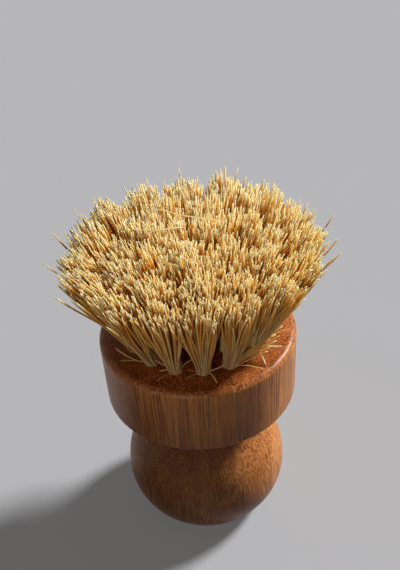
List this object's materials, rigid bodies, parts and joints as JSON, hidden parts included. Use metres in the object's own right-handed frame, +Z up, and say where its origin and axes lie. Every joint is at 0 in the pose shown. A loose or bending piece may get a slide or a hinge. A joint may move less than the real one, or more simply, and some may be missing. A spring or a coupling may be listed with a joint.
{
  "type": "dish brush",
  "caption": "Palm-held dish brush: a turned bamboo knob and drum-shaped head on a flat base, with splayed rings of stiff plant-fibre tufts trimmed flat for scrubbing dishes.",
  "frame": {"origin": "centre of the knob's flat base, which the brush stands on", "axes": "+Z up along the axis of turning, from the base to the trimmed fibre tips; -Y towards the tuft that each ring starts at"},
  "size_m": [0.068, 0.068, 0.0917],
  "materials": {
    "bamboo": "satin",
    "plant_fibre": "matte",
    "anchor_wire": "satin"
  },
  "bodies": {
    "root": {"bamboo_strip_1_head": "bamboo", "bamboo_strip_1_knob": "bamboo", "bamboo_strip_2": "bamboo", "bamboo_strip_3": "bamboo", "bamboo_strip_4": "bamboo", "bamboo_strip_5": "bamboo", "bamboo_strip_6_head": "bamboo", "bamboo_strip_6_knob": "bamboo", "tuft_anchors": "anchor_wire", "tuft_centre": "plant_fibre", "tuft_inner_01": "plant_fibre", "tuft_inner_02": "plant_fibre", "tuft_inner_03": "plant_fibre", "tuft_inner_04": "plant_fibre", "tuft_inner_05": "plant_fibre", "tuft_middle_01": "plant_fibre", "tuft_middle_02": "plant_fibre", "tuft_middle_03": "plant_fibre", "tuft_middle_04": "plant_fibre", "tuft_middle_05": "plant_fibre", "tuft_middle_06": "plant_fibre", "tuft_middle_07": "plant_fibre", "tuft_middle_08": "plant_fibre", "tuft_middle_09": "plant_fibre", "tuft_middle_10": "plant_fibre", "tuft_middle_11": "plant_fibre", "tuft_outer_01": "plant_fibre", "tuft_outer_02": "plant_fibre", "tuft_outer_03": "plant_fibre", "tuft_outer_04": "plant_fibre", "tuft_outer_05": "plant_fibre", "tuft_outer_06": "plant_fibre", "tuft_outer_07": "plant_fibre", "tuft_outer_08": "plant_fibre", "tuft_outer_09": "plant_fibre", "tuft_outer_10": "plant_fibre", "tuft_outer_11": "plant_fibre", "tuft_outer_12": "plant_fibre", "tuft_outer_13": "plant_fibre", "tuft_outer_14": "plant_fibre", "tuft_outer_15": "plant_fibre", "tuft_outer_16": "plant_fibre"}
  },
  "joints": []
}
